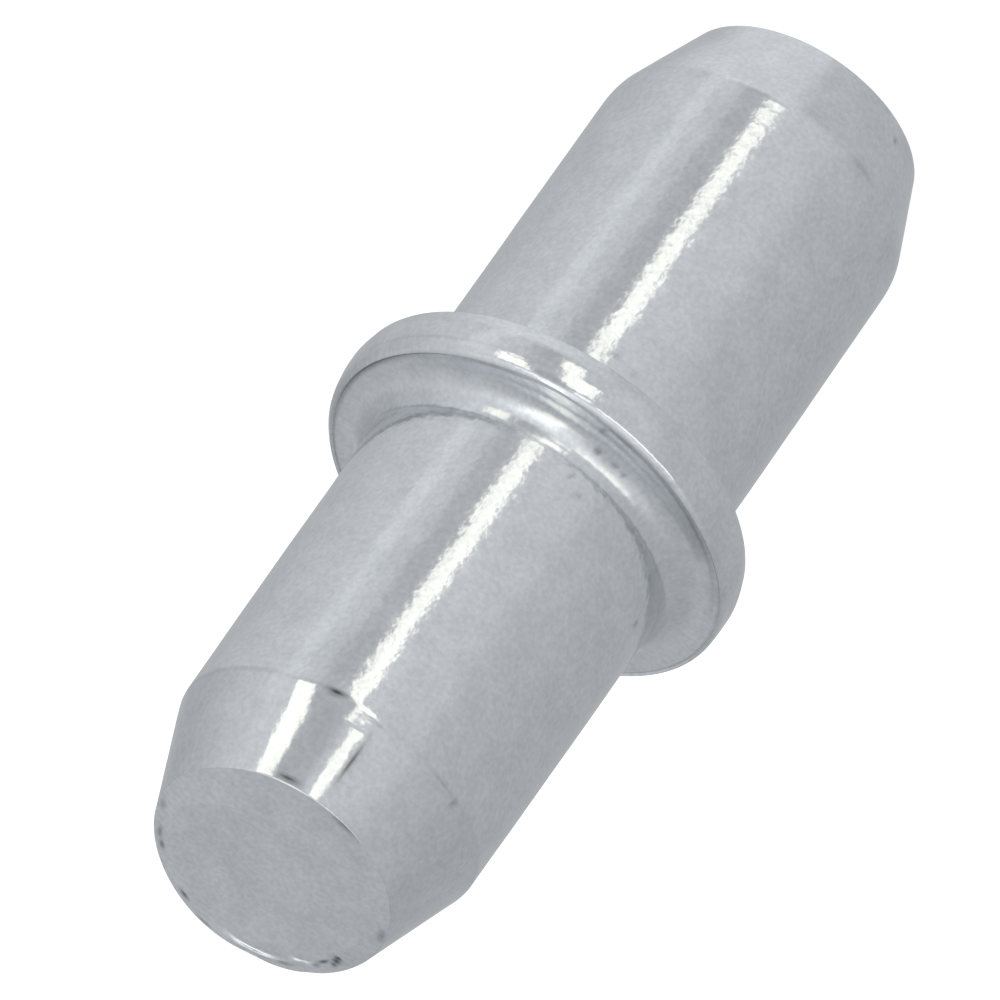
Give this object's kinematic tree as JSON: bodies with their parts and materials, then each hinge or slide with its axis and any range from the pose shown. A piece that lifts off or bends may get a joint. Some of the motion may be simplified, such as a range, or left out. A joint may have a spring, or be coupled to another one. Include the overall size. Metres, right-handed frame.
{
  "type": "shelf support pin",
  "caption": "Solid steel peg with a collar round its middle. One shank goes into a hole in a cabinet's side, and the shelf rests on the other.",
  "frame": {"origin": "centre of the wall shank's end face, which is the lowest point of the pin", "axes": "+Z along the pin's axis, from the wall shank's end face towards the shelf shank's; the pin is round, so X and Y are free"},
  "size_m": [0.0064, 0.0064, 0.016],
  "materials": {
    "zinc_plating": "bright zinc plating over cold-headed steel, satin with a fine mottled grain"
  },
  "bodies": {
    "root": {"pin": "zinc_plating"}
  },
  "joints": []
}
